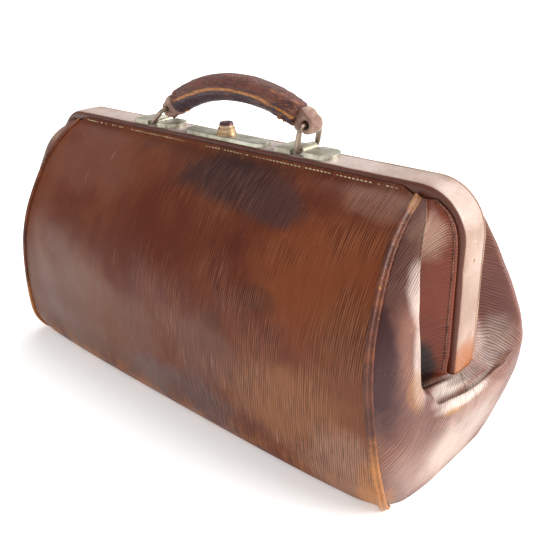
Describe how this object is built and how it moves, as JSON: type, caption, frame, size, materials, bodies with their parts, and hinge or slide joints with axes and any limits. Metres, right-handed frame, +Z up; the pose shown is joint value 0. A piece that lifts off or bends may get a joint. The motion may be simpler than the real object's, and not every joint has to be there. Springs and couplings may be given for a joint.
{
  "type": "doctor bag",
  "caption": "Gladstone style leather doctor bag with hinged frame jaws, a press-button lock, a rolled carrying handle on swinging rings and folded gussets.",
  "frame": {"origin": "middle of the bag's flat base, at floor level", "axes": "+X along the bag's length, -Y the front, +Z up"},
  "size_m": [0.4772, 0.1748, 0.2679],
  "materials": {
    "panel_leather": "straight-grain embossed hide, worn satin",
    "gusset_leather": "ribbed grain hide, rubbed pale on the folds",
    "welt_leather": "smooth piped edge, rubbed tan",
    "frame_leather": "smooth thin hide, polished sheen",
    "back_frame_leather": "smooth thin hide",
    "handle_leather": "cracked rolled hide with frayed tan wear",
    "base_leather": "scuffed hide",
    "lining": "plain woven cotton",
    "board": "pressed board",
    "plate_metal": "aged nickel, dull",
    "ring_metal": "dark worn nickel",
    "frame_steel": "dull steel",
    "brass": "worn brass",
    "button_metal": "darkened brass",
    "spring_steel": "spring wire"
  },
  "bodies": {
    "bag": {"bottom_panel": "base_leather", "base_board": "board", "base_lining": "lining", "front_panel": "panel_leather", "back_panel": "panel_leather", "front_lining": "lining", "back_lining": "lining", "right_gusset": "gusset_leather", "left_gusset": "gusset_leather", "welt_front_right": "welt_leather", "welt_front_left": "welt_leather", "welt_back_right": "welt_leather", "welt_back_left": "welt_leather", "end_stay_right": "frame_steel", "end_stay_left": "frame_steel", "hinge_pin_right": "frame_steel", "hinge_pin_left": "frame_steel"},
    "front_jaw": {"front_jaw_frame": "frame_steel", "front_frame_cover": "frame_leather", "cover_tacks": "button_metal", "lock_plate": "plate_metal", "button_collar": "brass", "lock_case": "frame_steel", "button_spring": "spring_steel", "handle_plate_left": "plate_metal", "handle_plate_right": "plate_metal"},
    "back_jaw": {"back_jaw_frame": "frame_steel", "back_frame_cover": "back_frame_leather", "catch_tongue": "frame_steel"},
    "button": {"lock_button": "button_metal"},
    "bolt": {"latch_bolt": "brass"},
    "left_ring": {"left_ring": "ring_metal"},
    "right_ring": {"right_ring": "ring_metal"},
    "handle": {"handle_core": "board", "handle_cover": "handle_leather", "handle_loop_left": "handle_leather", "handle_loop_right": "handle_leather"}
  },
  "joints": [
    {"name": "front_jaw_hinge", "type": "hinge", "parent": "bag", "child": "front_jaw", "pos_m": [0, 0, 0.094], "axis": [1, 0, 0], "range_deg": [0, 45], "deforming": ["front_panel", "front_lining", "welt_front_right", "welt_front_left", "right_gusset", "left_gusset"]},
    {"name": "back_jaw_hinge", "type": "hinge", "parent": "bag", "child": "back_jaw", "pos_m": [0, 0, 0.094], "axis": [-1, 0, 0], "range_deg": [0, 45], "deforming": ["back_panel", "back_lining", "welt_back_right", "welt_back_left", "right_gusset", "left_gusset"]},
    {"name": "button_press", "type": "slide", "parent": "front_jaw", "child": "button", "axis": [0, 0, -1], "range_m": [0, 0.003], "stiffness_N_per_m": 500, "springref_m": -0.001, "deforming": ["button_spring"]},
    {"name": "bolt_slide", "type": "slide", "parent": "front_jaw", "child": "bolt", "axis": [-1, 0, 0], "range_m": [0, 0.003]},
    {"name": "left_ring_swing", "type": "hinge", "parent": "front_jaw", "child": "left_ring", "pos_m": [-0.081, -0.0005, 0.2195], "axis": [0, 1, 0], "range_deg": [-62, 0]},
    {"name": "right_ring_swing", "type": "hinge", "parent": "front_jaw", "child": "right_ring", "pos_m": [0.084, -0.0005, 0.2195], "axis": [0, 1, 0], "range_deg": [-62, 0]},
    {"name": "handle_pivot", "type": "hinge", "parent": "left_ring", "child": "handle", "pos_m": [-0.06568, -0.0005, 0.23236], "axis": [0, 1, 0], "range_deg": [0, 67.49]}
  ],
  "couplings": [
    {"joint": "bolt_slide", "follows": "button_press", "ratio": 1},
    {"joint": "right_ring_swing", "follows": "left_ring_swing", "ratio": 1},
    {"joint": "handle_pivot", "follows": "left_ring_swing", "ratio": -1.0805}
  ]
}
